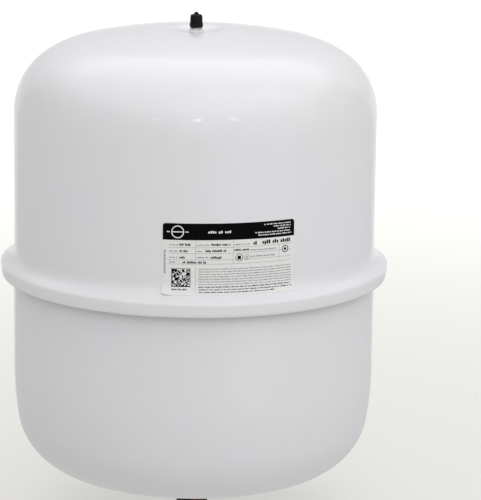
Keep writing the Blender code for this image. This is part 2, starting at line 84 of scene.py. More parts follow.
# Dish and valve
DISH_RADIUS = 22.5
DISH_DEPTH = 5.6
DISH_RIM_BLEND = 0.9
DISH_SURROUND = 12.0
VALVE_HOLE = 4.6
VALVE_BOSS_RADIUS = 6.5
VALVE_BOSS_TOP = 3.6
STEM_TOP = 13.8
STEM_BASE_RADIUS = 5.0
STEM_BASE_TOP = 6.0
STEM_SHANK_RADIUS = 4.2
STEM_FOOT = -5.0
STEM_MAJOR = 3.85
STEM_MINOR = 3.4
STEM_BORE = 2.65
STEM_THROAT = 1.95
STEM_SEAT = 5.0
STEM_RIM_RADIUS = 3.8
VALVE_PITCH = 0.794
VALVE_SEGMENTS = 64

# Rubber diaphragm
DIAPHRAGM_GAP = 0.7
DIAPHRAGM_SHEET = 1.8
DIAPHRAGM_EDGE = 100.3

# Thread of the stem, and of the cap half a pitch away
STEM_THREAD_BOTTOM = 6.6
CAP_THREAD_BOTTOM = STEM_THREAD_BOTTOM + 2.5 * VALVE_PITCH
CAP_THREAD_TOP = CAP_THREAD_BOTTOM + 5.0 * VALVE_PITCH

# Dust cap
CAP_FOOT = 6.4
CAP_RADIUS = 5.0
CAP_SHOULDER = 14.6
CAP_CROWN = 16.7
KNOB_RADIUS = 1.9
KNOB_TOP = 18.7
COLLAR_RADIUS = 5.55
COLLAR_TOP = CAP_FOOT + 3.2
COLLAR_SIDES = 10
CAP_RIBS = 20
CAP_BORE = 4.1
CAP_BORE_TOP = 15.4
CAP_THREAD_TIP = 3.62

# Rating label, placed by its turn from the front and its height over the seam's middle
LABEL_TURN = 41.3
LABEL_CENTRE_TURN = 11.1
LABEL_FOOT = 11.5
LABEL_TOP = 69.0
HEADER_HEIGHT = 13.4
FILM_FOOT = 0.02
FILM_TOP = 0.2
INK_FOOT = 0.17
INK_TOP = 0.24
SECOND_INK_TOP = 0.27
CURL_HEIGHT = 1.1
CURL_REACH = 11.0

# Camera, in metres and degrees
CAMERA_DISTANCE = 2.5
CAMERA_ELEVATION = 13.21
CAMERA_ROLL = 0.55
CAMERA_LENS = 214.5
CAMERA_SHIFT = (0.093, 0.0305)
CAMERA_SIGHT = 100.0

# Colours
WHITE = (1.0, 1.0, 1.0)
BLACK = (0.0, 0.0, 0.0)
COATING = (0.658, 0.658, 0.688)
ZINC = (0.52, 0.53, 0.47)
RUBBER = (0.022, 0.022, 0.024)

# Light, in metres and degrees. The room's glow goes by the height of the line of sight, from -1
# to 1. The suns and lamps are turned from the front.
ROOM_GLOW = ((-0.1, 0.61), (0.1, 0.27), (0.45, 0.27), (0.7, 1.38))
FLOOR_SHADE = 0.25
FLOOR_GLOW = (0.5, 0.8)
FLOOR_GLOW_REACH = (0.3, 1.8)
FLOOR_REACH = 60.0
SUNS = (("side", 37.0, 0.94), ("back", 180.0, 0.6))
SUN_TILT = 63.0
SUN_SPREAD = 90.0
BACKDROP_RADIUS = 20.0
BACKDROP_HEIGHT = 15.0
LAMPS = ((-25.0, 0.5), (1.4, 1.0), (25.0, 0.7))
LAMP_DISTANCE = 2.25
LAMP_HEIGHT = 1.45
LAMP_SIZE = (0.2, 0.15)

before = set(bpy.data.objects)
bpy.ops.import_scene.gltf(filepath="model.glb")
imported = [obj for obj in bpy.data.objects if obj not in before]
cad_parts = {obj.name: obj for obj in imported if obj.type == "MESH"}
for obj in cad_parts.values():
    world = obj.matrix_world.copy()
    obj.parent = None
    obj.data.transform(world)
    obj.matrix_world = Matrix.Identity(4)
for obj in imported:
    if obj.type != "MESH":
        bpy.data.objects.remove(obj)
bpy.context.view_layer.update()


def box_mm(node):
    """The lowest and highest corners of a CAD node, in millimetres."""
    low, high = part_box(node)
    return low / MM, high / MM


SEAM_Z = box_mm("upper_shell")[0].z + SEAM_HALF_HEIGHT
NIPPLE_REACH = box_mm("connection_nipple")[1].z - SHEET
VALVE_Z = box_mm("valve_stem")[1].z - STEM_TOP
MIDDLE = Vector((0.0, 0.0, SEAM_Z * MM))


def between(start, end, share):
    return start + (end - start) * share


def smooth_step(value):
    """0 below 0, 1 above 1, and a smooth rise between."""
    value = min(max(value, 0.0), 1.0)
    return value * value * (3.0 - 2.0 * value)


def ring_noise(angle, scale, seed):
    """Smooth noise from -1 to 1 that closes up after a full turn."""
    return noise.noise(Vector((scale * cos(angle), scale * sin(angle), seed)))


# --- outlines, as (radius, height)


def polar(centre, radius, degrees):
    return centre[0] + radius * cos(rad(degrees)), centre[1] + radius * sin(rad(degrees))


def arc(centre, radius, start, end, steps):
    turn = (end - start) / steps
    return [polar(centre, radius, start + turn * i) for i in range(steps + 1)]


def straight(start, end, steps):
    return [tuple(between(start[k], end[k], i / steps) for k in (0, 1)) for i in range(steps + 1)]


def offset_outline(points, distance):
    """The outline moved to the right of its own direction by a distance."""
    moved = []
    for i, (radius, height) in enumerate(points):
        before, after = points[max(i - 1, 0)], points[min(i + 1, len(points) - 1)]
        along = Vector((after[0] - before[0], after[1] - before[1])).normalized()
        moved.append((radius + along.y * distance, height - along.x * distance))
    return moved


class PressedHead:
    """Three tangent arcs that close a straight body: two of the knuckle, then a spherical crown."""

    def __init__(self, body_radius, straight_height, first_radius, first_turn, second_radius, second_turn):
        self.turns = (0.0, first_turn, second_turn)
        first_centre = (body_radius - first_radius, straight_height)
        second_centre = polar(first_centre, first_radius - second_radius, first_turn)
        end = polar(second_centre, second_radius, second_turn)
        crown_radius = end[0] / cos(rad(second_turn))
        crown_centre = (0.0, end[1] - crown_radius * sin(rad(second_turn)))
        self.centres = (first_centre, second_centre, crown_centre)
        self.radii = (first_radius, second_radius, crown_radius)
        self.edge = end[0]

    def crown_height(self, radius):
        return self.centres[2][1] + sqrt(self.radii[2] ** 2 - radius ** 2)

    def crown(self, from_radius, steps):
        """Points along the crown from a radius out to its edge."""
        radii = [between(from_radius, self.edge, i / steps) for i in range(steps + 1)]
        return [(radius, self.crown_height(radius)) for radius in radii]

    def knuckle(self, steps):
        """Points from the crown's edge down to the straight body, without the edge itself."""
        points = []
        for part in (1, 0):
            points += arc(self.centres[part], self.radii[part], self.turns[part + 1], self.turns[part],
                          steps[part])[1:]
        return points


UPPER_HEAD = PressedHead(UPPER_RADIUS, straight_height=132.3, first_radius=56.4, first_turn=57.4,
                         second_radius=82.3, second_turn=78.1)
LOWER_HEAD = PressedHead(LOWER_RADIUS, straight_height=81.7, first_radius=284.0, first_turn=9.1,
                         second_radius=54.5, second_turn=71.7)


def dish_height(radius):
    """The crown with the valve's dish pressed into it, its rim rounded over."""
    drop = DISH_DEPTH * (1.0 - (radius / DISH_RADIUS) ** 2)
    rounded = (drop + sqrt(drop ** 2 + DISH_RIM_BLEND ** 2)) / 2.0
    return UPPER_HEAD.crown_height(radius) - rounded


def seam_side(steps):
    """The concave fillet above the seam, and the rounding at the top of its band."""
    slope_turn = 90.0 - SEAM_SLOPE
    round_centre = (SEAM_RADIUS - SEAM_TOP_ROUND, SEAM_HALF_HEIGHT - SEAM_TOP_DROP)
    slope_foot = polar(round_centre, SEAM_TOP_ROUND, slope_turn)
    fillet_centre_radius = UPPER_RADIUS + SEAM_FILLET
    slope_top_radius = fillet_centre_radius - SEAM_FILLET * cos(rad(slope_turn))
    slope_top = slope_foot[1] + (slope_foot[0] - slope_top_radius) * tan(rad(SEAM_SLOPE))
    fillet_centre = (fillet_centre_radius, slope_top + SEAM_FILLET * sin(rad(slope_turn)))
    fillet = arc(fillet_centre, SEAM_FILLET, 180.0, 180.0 + slope_turn, steps)
    return fillet, arc(round_centre, SEAM_TOP_ROUND, slope_turn, 0.0, steps // 2)


def upper_outline():
    """The upper half's outer surface, from the valve's hole to the folded edge under the seam."""
    bowl_end = DISH_RADIUS + DISH_SURROUND
    bowl = [(radius, dish_height(radius)) for radius, _ in straight((VALVE_HOLE, 0), (bowl_end, 0), 36)]
    crown = [(radius, dish_height(radius)) for radius, _ in UPPER_HEAD.crown(bowl_end, 12)[1:]]
    fillet, top_round = seam_side(12)
    knuckle = UPPER_HEAD.knuckle((22, 6))
    body = straight(knuckle[-1], fillet[0], 12)[1:]
    foot_centre = (SEAM_RADIUS - SEAM_TAPER - SEAM_FOOT_ROUND, SEAM_FOOT_ROUND - SEAM_HALF_HEIGHT)
    foot_round = arc(foot_centre, SEAM_FOOT_ROUND, 0.0, -90.0, 6)
    fold = straight(foot_round[-1], (FOLD_END_RADIUS, -SEAM_HALF_HEIGHT), 4)[1:]
    return bowl + crown + knuckle + body + fillet[1:] + top_round + foot_round + fold


def lower_outline():
    """The lower half's outer surface, from the flange's tip to the connection's hole."""
    bend_centre = (LOWER_RADIUS + FLANGE_FILLET, FLANGE_UNDER - FLANGE_FILLET)
    bend = arc(bend_centre, FLANGE_FILLET, 90.0, 180.0, 6)
    crown = LOWER_HEAD.crown(NIPPLE_NECK + 0.3, 16)
    head = [(radius, -height) for radius, height in reversed(crown + LOWER_HEAD.knuckle((8, 20)))]
    body = straight(bend[-1], head[0], 10)[1:-1]
    return straight((FLANGE_TIP_RADIUS, FLANGE_UNDER), bend[0], 4)[:-1] + bend + body + head


def sheet_section(outer):
    """The closed section of a sheet that has this outline on its outer side."""
    return outer + list(reversed(offset_outline(outer, SHEET)))


# --- meshes


def add_vertex(mesh, radius, angle, height):
    return mesh.verts.new((radius * cos(angle), radius * sin(angle), height))


def add_ring(mesh, radius, height, segments, shape):
    """One ring of vertices, or a single vertex on the axis."""
    if radius < ON_AXIS:
        return [add_vertex(mesh, 0.0, 0.0, height)]
    ring = []
    for i in range(segments):
        angle = tau * i / segments
        own_radius, own_height = shape(radius, height, angle) if shape else (radius, height)
        ring.append(add_vertex(mesh, own_radius, angle, own_height))
    return ring


def bridge(mesh, ring, other, segments):
    """Faces between two rings, either of which may be a single vertex."""
    for i in range(segments):
        corners = []
        for loop, index in ((ring, i), (ring, i + 1), (other, i + 1), (other, i)):
            vertex = loop[index % len(loop)]
            if vertex not in corners:
                corners.append(vertex)
        if len(corners) > 2:
            mesh.faces.new(corners)


def bridge_rings(mesh, rings, segments):
    for ring, other in zip(rings, rings[1:]):
        bridge(mesh, ring, other, segments)


def revolve(mesh, outline, segments, closed=True, shape=None):
    """Sweep a section round the Z axis into a mesh."""
    rings = [add_ring(mesh, radius, height, segments, shape) for radius, height in outline]
    bridge_rings(mesh, rings, segments)
    if closed:
        bridge(mesh, rings[-1], rings[0], segments)


def add_thread(mesh, segments, pitch, bottom, top, radius_at, rows_per_pitch=12):
    """A helical grid between two heights, with its radius from radius_at(place in the pitch, height).

    Its rows climb one pitch a turn. Rows beyond the two ends are pressed onto them and merged away."""
    first = -rows_per_pitch
    count = ceil((top - bottom) / pitch) * rows_per_pitch + 1
    grid = {}
    for row in range(first, count + 1):
        for i in range(segments + 1):
            angle = tau * i / segments
            height = bottom + pitch * (row / rows_per_pitch + i / segments)
            height = min(max(height, bottom), top)
            radius = radius_at((row / rows_per_pitch) % 1.0, height)
            grid[row, i] = add_vertex(mesh, radius, angle, height)
    for row in range(first, count):
        for i in range(segments):
            mesh.faces.new((grid[row, i], grid[row, i + 1], grid[row + 1, i + 1], grid[row + 1, i]))


def thread_form(place):
    """Height of a thread's profile, from 0 at the root to 1 at the crest, at a place in the pitch."""
    flank = (abs(place - 0.5) * 2.0 - 0.12) / 0.66
    return 1.0 - min(max(flank, 0.0), 1.0)


def add_object(name, data):
    thing = bpy.data.objects.new(name, data)
    bpy.context.scene.collection.objects.link(thing)
    return thing


def finish_mesh(name, mesh, look, merge=0.0, sharp=35.0):
    """Turn a bmesh in millimetres into an object in metres, smoothly shaded, with one material."""
    if merge:
        bmesh.ops.remove_doubles(mesh, verts=mesh.verts, dist=merge)
        bmesh.ops.dissolve_degenerate(mesh, edges=mesh.edges, dist=merge)
    bmesh.ops.recalc_face_normals(mesh, faces=mesh.faces)
    mesh.transform(Matrix.Scale(MM, 4))
    data = bpy.data.meshes.new(name)
    mesh.to_mesh(data)
    mesh.free()
    data.shade_smooth()
    data.set_sharp_from_angle(angle=rad(sharp))
    data.materials.append(look)
    return add_object(name, data)


def place_on(thing, height, slot, *nodes, body="vessel"):
    """Put a piece at its height on a CAD body, and hide the CAD nodes that it stands for."""
    thing.location.z = height * MM
    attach(thing, body)
    if nodes:
        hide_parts(*nodes)


def turned_piece(name, outline, segments, look, *place, closed=True, shape=None, body="vessel"):
    """A piece that is one revolved section. Its place is what place_on takes."""
    mesh = bmesh.new()
    revolve(mesh, outline, segments, closed, shape)
    piece = finish_mesh(name, mesh, look)
    place_on(piece, *place, body=body)
    return piece


# --- materials


class Nodes:
    """A node tree, with short calls for the nodes that these finishes share."""

    def __init__(self, owner, coordinates):
        owner.use_nodes = True
        self.tree = owner.node_tree
        self.place = self.node("ShaderNodeTexCoord").outputs[coordinates]

    def node(self, kind, **values):
        """A node with its inputs set by name, with _ for each space."""
        made = self.tree.nodes.new(kind)
        for name, value in values.items():
            made.inputs[name.replace("_", " ")].default_value = value
        return made

    def link(self, source, target):
        self.tree.links.new(source, target)

    def ramp(self, value, stops, blend="LINEAR"):
        """Colours read off a scale of (place, colour) stops."""
        made = self.node("ShaderNodeValToRGB")
        made.color_ramp.interpolation = blend
        self.link(value, made.inputs["Fac"])
        while len(made.color_ramp.elements) < len(stops):
            made.color_ramp.elements.new(1.0)
        for element, (place, colour) in zip(made.color_ramp.elements, stops):
            element.position = place
            element.color = (*colour, 1.0)
        return made.outputs["Color"]


class Look(Nodes):
    """A material, with the shader's constant values set by name, with _ for each space."""

    def __init__(self, name, **values):
        self.material = bpy.data.materials.new(name)
        super().__init__(self.material, "Object")
        self.shader = self.tree.nodes["Principled BSDF"]
        for socket, value in values.items():
            self.shader.inputs[socket.replace("_", " ")].default_value = value

    def noise(self, scale, detail, stretch=None):
        """A noise value from 0 to 1, with its scale in features per metre."""
        made = self.node("ShaderNodeTexNoise", Scale=scale, Detail=detail)
        source = self.place
        if stretch:
            mapping = self.node("ShaderNodeMapping", Scale=stretch)
            self.link(source, mapping.inputs["Vector"])
            source = mapping.outputs["Vector"]
        self.link(source, made.inputs["Vector"])
        return made.outputs["Fac"]

    def spread(self, value, low, high):
        """A value from 0 to 1 stretched to another range."""
        made = self.node("ShaderNodeMapRange", To_Min=low, To_Max=high)
        self.link(value, made.inputs["Value"])
        return made.outputs["Result"]

    def mix(self, factor, first, second):
        """One colour laid over another by a factor. A colour is an output or a tuple."""
        made = self.node("ShaderNodeMix")
        made.data_type = "RGBA"
        sockets = [socket for socket in made.inputs if socket.enabled]
        self.link(factor, sockets[0])
        for socket, value in zip(sockets[1:], (first, second)):
            if isinstance(value, tuple):
                socket.default_value = (*value, 1.0)
            else:
                self.link(value, socket)
        return [socket for socket in made.outputs if socket.enabled][0]

    def crevices(self, colour, shade, reach, with_neighbours):
        """The colour with painted shade: darkened by ambient occlusion in crevices of the piece, or between
        it and its neighbours.
        """
        made = self.node("ShaderNodeAmbientOcclusion", Distance=reach * MM)
        made.samples = 8
        made.only_local = not with_neighbours
        openness = self.ramp(made.outputs["AO"], ((0.2, BLACK), (0.85, WHITE)))
        return self.mix(openness, shade, colour)

    def bump(self, value, depth, strength):
        """Add a bump of this depth in millimetres, on top of any that is there already."""
        made = self.node("ShaderNodeBump", Strength=strength, Distance=depth * MM)
        self.link(value, made.inputs["Height"])
        target = self.shader.inputs["Normal"]
        if target.is_linked:
            self.link(target.links[0].from_socket, made.inputs["Normal"])
        self.link(made.outputs["Normal"], target)

    def paint(self, colour, roughness):
        self.link(colour, self.shader.inputs["Base Color"])
        self.link(roughness, self.shader.inputs["Roughness"])
        return self.material


def tint(colour, *factors):
    """A colour times one factor, or times one each for its red, green and blue."""
    return tuple(part * factor for part, factor in zip(colour, factors * 3))


def powder_coat(name, crevice_shade=0.5, reach=9.0, with_neighbours=False):
    """White epoxy powder: a fine orange peel over long, very shallow waves of the pressed sheet."""
    look = Look(name, Specular_IOR_Level=0.25, Coat_Weight=0.4, Coat_Roughness=0.07)
    look.bump(look.noise(420.0, 2.0), 0.05, 0.5)
    look.bump(look.noise(14.0, 1.0, (1.0, 1.0, 0.35)), 0.5, 0.25)
    warm, cool = tint(COATING, 1.0, 0.995, 0.975), tint(COATING, 0.985, 0.99, 1.0)
    base = look.ramp(look.noise(9.0, 4.0), ((0.35, warm), (0.65, cool)))
    paler = look.mix(look.spread(look.noise(60.0, 5.0), 0.0, 0.06), base, WHITE)
    # Painted shade: ambient occlusion darkens the coating towards a darker tint in creases, and
    # with_neighbours also where other pieces come near.
    shaded = look.crevices(paler, tint(COATING, crevice_shade), reach, with_neighbours)
    return look.paint(shaded, look.spread(look.noise(35.0, 3.0), 0.26, 0.36))


def rusty_steel(name):
    """Machined steel that has browned in store, with patches of orange rust."""
    look = Look(name)
    brown = look.ramp(look.noise(300.0, 5.0), ((0.3, (0.035, 0.026, 0.022)), (0.5, (0.075, 0.055, 0.042)),
                                               (0.72, (0.15, 0.125, 0.1))))
    rust = look.ramp(look.noise(700.0, 4.0), ((0.3, (0.13, 0.04, 0.018)), (0.7, (0.3, 0.11, 0.045))))
    patches = look.ramp(look.noise(95.0, 4.0), ((0.54, BLACK), (0.66, WHITE)))
    look.bump(look.noise(1500.0, 4.0), 0.05, 0.7)
    look.link(look.spread(patches, 0.75, 0.1), look.shader.inputs["Metallic"])
    return look.paint(look.mix(patches, brown, rust), look.spread(look.noise(500.0, 4.0), 0.42, 0.72))


def zinc_plate(name):
    """Plated steel with a faint yellow and green passivation, duller in patches."""
    look = Look(name, Metallic=1.0)
    shades = ((0.32, tint(ZINC, 0.72)), (0.5, ZINC), (0.7, tint(ZINC, 1.18)))
    base = look.ramp(look.noise(650.0, 4.0), shades)
    green = tint(ZINC, 0.82, 0.98, 0.86)
    colour = look.mix(look.spread(look.noise(260.0, 2.0), 0.0, 0.8), base, green)
    look.bump(look.noise(2600.0, 3.0), 0.015, 0.5)
    return look.paint(colour, look.spread(look.noise(900.0, 4.0), 0.25, 0.5))


def grained(name, shades, colour_grain, relief_grain, depth, strength, gloss_grain, roughness, **values):
    """Uneven colour, fine relief and uneven gloss, each from its own grain of noise."""
    look = Look(name, **values)
    base = look.ramp(look.noise(*colour_grain), shades)
    look.bump(look.noise(*relief_grain), depth, strength)
    return look.paint(base, look.spread(look.noise(*gloss_grain), *roughness))


def brass(name):
    """Turned brass, with fine rings from the tool and a little tarnish."""
    shades = ((0.3, (0.36, 0.24, 0.1)), (0.6, (0.62, 0.44, 0.18)))
    rings = (900.0, 2.0, (0.2, 0.2, 6.0))
    return grained(name, shades, (800.0, 4.0), rings, 0.01, 0.5, (1200.0, 3.0), (0.24, 0.46), Metallic=1.0)


def moulded_plastic(name, colour):
    """Moulded plastic with a fine spark-eroded grain and slight greying where it is handled."""
    grey = tuple(part + 0.006 for part in colour)
    return grained(name, ((0.4, colour), (0.75, grey)), (260.0, 5.0), (5200.0, 2.0), 0.02, 0.45,
                   (420.0, 4.0), (0.4, 0.55), Specular_IOR_Level=0.12)


def rubber(name):
    """Calendered rubber: dull, with a fine cloth-like grain and a grey bloom."""
    return grained(name, ((0.35, RUBBER), (0.8, tint(RUBBER, 2.2))), (40.0, 6.0), (1800.0, 2.0), 0.04, 0.6,
                   (90.0, 4.0), (0.6, 0.82))


def lacquer(name):
    """Red locking lacquer, thick and glossy, thinner and lighter in places."""
    shades = ((0.35, (0.17, 0.006, 0.014)), (0.7, (0.42, 0.03, 0.05)))
    return grained(name, shades, (900.0, 3.0), (1200.0, 2.0), 0.03, 0.5, (700.0, 2.0), (0.12, 0.3),
                   Coat_Weight=0.6)


def printed(name, colour, roughness, gloss=0.2):
    """Printing ink or label film, with the slight unevenness of a print."""
    shades = ((0.3, tint(colour, 0.93)), (0.6, colour))
    return grained(name, shades, (1500.0, 3.0), (2200.0, 2.0), 0.008, 0.3, (200.0, 3.0),
                   (roughness * 0.9, roughness * 1.2), Specular_IOR_Level=gloss)


# --- steel halves


def seam_wave(radius, height, angle):
    """The rolled rim isn't quite true: it runs slightly in and out, and up and down."""
    share = smooth_step((radius - SEAM_RADIUS + SEAM_WAVE_INSET) / SEAM_WAVE_BLEND)
    ripple = SEAM_WAVE * share
    radius += ripple * (ring_noise(angle, 3.4, 1.0) + 0.5 * ring_noise(angle, 9.0, 2.0))
    height += ripple * (ring_noise(angle, 4.2, 3.0) + 0.5 * ring_noise(angle, 11.0, 4.0))
    return min(radius, SEAM_RADIUS + SEAM_WAVE_LIMIT), height


def make_shells(white, shaded_white):
    """The two halves. The seam's foot and the lower half get a copy of the coating with painted shade,
    darker where they meet.
    """
    upper = turned_piece("upper_half", sheet_section(upper_outline()), SHELL_SEGMENTS, white,
                         SEAM_Z, "white_coating", "upper_shell", shape=seam_wave)
    upper.data.materials.append(shaded_white)
    # Faces below the seam's middle take the copy of the coating with stronger painted shade.
    for face in upper.data.polygons:
        face.material_index = 1 if face.center.z < 0.0 else 0
    turned_piece("lower_half", sheet_section(lower_outline()), SHELL_SEGMENTS, shaded_white,
                 SEAM_Z, "white_coating", "lower_shell")


# --- connection


def make_nipple(steel):
    """The connection: a pipe nipple with a true helical thread, cut by its end chamfer."""
    mesh = bmesh.new()
    end_radius = PIPE_MAJOR - NIPPLE_CHAMFER
    top = NIPPLE_REACH + SHEET
    bore_edge = 0.5
    rest = [(NIPPLE_NECK, NIPPLE_THREAD_TOP + 1.0), (NIPPLE_NECK, top), (NIPPLE_BORE, top)]
    rest += straight((NIPPLE_BORE, top), (NIPPLE_BORE, bore_edge), 6)[1:]
    rest += [(NIPPLE_BORE + bore_edge, 0.0), (end_radius, 0.0)]
    revolve(mesh, rest, NIPPLE_SEGMENTS, closed=False)
    run_out = 2.2 * PIPE_PITCH
    thread_end = rest[0][1]

    def radius_at(place, height):
        cut = between(PIPE_MINOR, PIPE_MAJOR, thread_form(place))
        fade = smooth_step((height - thread_end + run_out) / run_out)
        return min(between(cut, NIPPLE_NECK, fade), end_radius + height)

    add_thread(mesh, NIPPLE_SEGMENTS, PIPE_PITCH, 0.0, thread_end, radius_at)
    place_on(finish_mesh("pipe_nipple", mesh, steel, merge=0.004), 0.0, "bare_steel", "connection_nipple")


def make_boss(white):
    """The raised, rounded ring on the shell round the nipple, with its weld fillets."""
    foot = NIPPLE_REACH - BOSS_HEIGHT
    ledge = foot + 0.8
    fillet, rim, step = 2.2, 1.4, 0.4
    fillet_radius, step_radius, hole = BOSS_RADIUS + fillet, BOSS_RADIUS - 3.8, NIPPLE_NECK + 0.25
    shell_at_fillet = SEAM_Z - LOWER_HEAD.crown_height(fillet_radius)
    outline = [(fillet_radius + 0.6, shell_at_fillet + 0.1)]
    outline += arc((fillet_radius, shell_at_fillet - fillet), fillet, 90.0, 180.0, 6)
    outline += arc((BOSS_RADIUS - rim, ledge + rim), rim, 0.0, -90.0, 6)
    outline += arc((step_radius + step, ledge - step), step, 90.0, 180.0, 3)
    outline += arc((step_radius - step, foot + step), step, 0.0, -90.0, 3)
    outline += [(hole, foot), (hole, SEAM_Z - LOWER_HEAD.crown_height(hole) + 0.1)]
    turned_piece("connection_ring", outline, NIPPLE_SEGMENTS, white, 0.0, "white_coating",
                 "connection_boss")


def make_nipple_paint(white):
    """The coating that runs down the nipple's neck, and over its thread on one side."""
    top = NIPPLE_REACH - BOSS_HEIGHT + 0.2
    edge_height, slant, film = 13.9, 1.5, 0.2
    inside = NIPPLE_NECK - 0.3

    def drape(radius, down, angle):
        wander = 0.55 * ring_noise(angle, 2.2, 5.0) + 0.4 * ring_noise(angle, 7.0, 6.0)
        edge = edge_height - slant * cos(angle - rad(-20.0)) + 1.4 * wander
        lumps = 0.05 * ring_noise(angle, 6.0, 40.0 * down)
        return radius + lumps, top + (edge - top) * down

    steps = 14
    outer = [(NIPPLE_NECK + film * (1.0 - (i / steps) ** 4), i / steps) for i in range(steps + 1)]
    outline = outer + [(inside, 1.0), (inside, 0.0)]
    turned_piece("connection_coating", outline, 2 * NIPPLE_SEGMENTS, white, 0.0, "white_coating",
                 shape=drape)


# --- valve


def make_valve_boss(white):
    """The coated weld collar. Its coating creeps unevenly up the stem's base."""
    fillet, edge = 1.3, 0.55
    fillet_radius, stem, top = VALVE_BOSS_RADIUS + fillet, STEM_BASE_RADIUS, VALVE_BOSS_TOP
    foot = dish_height(fillet_radius) - dish_height(0.0)
    outline = [(fillet_radius + 0.5, foot - 0.1)]
    outline += arc((fillet_radius, foot + fillet), fillet, -90.0, -180.0, 5)
    outline += arc((VALVE_BOSS_RADIUS - edge, top - edge), edge, 0.0, 90.0, 5)
    outline += [(stem + 0.5, top), (stem + 0.14, top), (stem - 0.1, top - 0.1), (stem - 0.1, foot)]

    def uneven(radius, height, angle):
        near_stem = smooth_step((stem + 0.6 - radius) / 0.4)
        near_top = smooth_step((height - 2.5) / 0.8)
        creep = 1.5 * smooth_step(0.5 + 1.6 * ring_noise(angle, 1.5, 7.0))
        creep += 0.5 * ring_noise(angle, 6.0, 8.0)
        lump = 0.1 * ring_noise(angle, 3.0, 60.0 * radius)
        return radius, height + near_top * (near_stem * max(creep, 0.0) + lump)

    turned_piece("valve_collar", outline, 2 * VALVE_SEGMENTS, white, VALVE_Z, "white_coating", "valve_boss",
                 shape=uneven)


def stem_rim():
    """The stem's rounded rim, from its outer side over the top into the bore."""
    outer_round, inner_round = 0.75, 0.3
    return (arc((STEM_RIM_RADIUS - outer_round, STEM_TOP - outer_round), outer_round, 0.0, 90.0, 6)
            + arc((STEM_BORE + inner_round, STEM_TOP - inner_round), inner_round, 90.0, 180.0, 4))


def make_stem(plated):
    mesh = bmesh.new()
    thread_top = STEM_TOP - 0.95
    neck = STEM_MINOR + 0.05
    edge = 0.3
    throat_top = STEM_SEAT - (STEM_BORE - STEM_THROAT)
    rest = [(STEM_RIM_RADIUS, thread_top)] + stem_rim()
    rest += straight((STEM_BORE, STEM_TOP - 0.4), (STEM_BORE, STEM_SEAT), 8)
    rest += [(STEM_THROAT, throat_top), (STEM_THROAT, STEM_FOOT), (STEM_SHANK_RADIUS, STEM_FOOT),
             (STEM_SHANK_RADIUS, SHEET / 2), (STEM_BASE_RADIUS, SHEET / 2)]
    rest += arc((STEM_BASE_RADIUS - edge, STEM_BASE_TOP - edge), edge, 0.0, 90.0, 3)
    rest += [(STEM_MINOR + 0.35, STEM_BASE_TOP), (neck, STEM_BASE_TOP + 0.25), (neck, STEM_THREAD_BOTTOM)]
    revolve(mesh, rest, VALVE_SEGMENTS, closed=False)

    def radius_at(place, height):
        cut = between(STEM_MINOR, STEM_MAJOR, thread_form(place))
        start = smooth_step((STEM_THREAD_BOTTOM + VALVE_PITCH - height) / VALVE_PITCH)
        end = smooth_step((height - thread_top + VALVE_PITCH) / VALVE_PITCH)
        return between(between(cut, neck, start), STEM_RIM_RADIUS, end)

    add_thread(mesh, VALVE_SEGMENTS, VALVE_PITCH, STEM_THREAD_BOTTOM, thread_top, radius_at)
    place_on(finish_mesh("valve_tube", mesh, plated, merge=0.002), VALVE_Z, "zinc_plate", "valve_stem")


def make_core(metal, plated, red, black):
    """The valve core. Only its plug and the tip of its pin show, down in the stem's bore."""
    plug_radius, plug_bore, plug_top, plug_foot = 2.5, 1.15, 12.4, 9.4
    head_radius, head_foot, half_flats = 1.75, plug_top - 1.2, 1.3
    outline = [(plug_bore, plug_top), (head_radius, plug_top), (head_radius, head_foot + 0.1)]
    outline += [(plug_radius, head_foot - 0.1), (plug_radius, plug_foot), (plug_bore, plug_foot)]

    def flats(radius, height, angle):
        """Two flats on the plug's head, for the key that screws it in."""
        if height > head_foot and radius > 1.5:
            across = abs(cos(angle)) * radius
            radius *= min(1.0, half_flats / max(across, 0.01))
        return radius, height

    turned_piece("core_plug", outline, 48, metal, VALVE_Z, "brass", "valve_core_plug", shape=flats)
    pin_radius, pin_top, pin_foot, tip_round = 0.5, 13.4, 4.3, 0.25
    collar_radius, collar_top, collar_foot = 0.92, 9.0, 8.6
    outline = [(0.0, pin_top)] + arc((pin_radius, pin_top - tip_round), tip_round, 90.0, 0.0, 4)
    outline += [(0.75, pin_top - 0.6), (pin_radius, pin_top - 0.8), (pin_radius, collar_top)]
    outline += [(collar_radius, collar_top), (collar_radius, collar_foot), (pin_radius, collar_foot)]
    outline += [(pin_radius, pin_foot), (0.0, pin_foot)]
    turned_piece("core_pin", outline, 32, metal, VALVE_Z, "brass", "valve_core_pin", closed=False,
                 body="valve_pin")
    make_spring(plated)
    for node, look in (("valve_core_barrel", metal), ("valve_core_cup", metal), ("valve_core_seal", red),
                       ("valve_core_disc", black)):
        dress(node, look)


def dress(node, look):
    """Give a CAD node that stays in view its finish."""
    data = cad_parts[node].data
    data.materials.clear()
    data.materials.append(look)


def squash_upright(piece):
    """Give a piece its own copy of its mesh."""
    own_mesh(piece)


def make_spring(look):
    """The core's spring, which on the real valve shortens as the pin is pressed; here it is a fixed coil.
    """
    low, high = box_mm("valve_core_spring")
    wire, coil_radius = 0.1, 0.8
    turns, per_turn, sides = 5, 24, 8
    foot, top = low.z + wire, high.z - wire
    mesh = bmesh.new()
    rings = []
    for i in range(turns * per_turn + 1):
        angle = tau * i / per_turn
        height = between(foot, top, i / (turns * per_turn))
        section = [polar((coil_radius, height), wire, 360.0 * side / sides) for side in range(sides)]
        rings.append([add_vertex(mesh, radius, angle, level) for radius, level in section])
    bridge_rings(mesh, rings, sides)
    mesh.faces.new(rings[0])
    mesh.faces.new(rings[-1])
    spring = finish_mesh("core_spring", mesh, look)
    place_on(spring, 0.0, "zinc_plate", "valve_core_spring")
    squash_upright(spring)


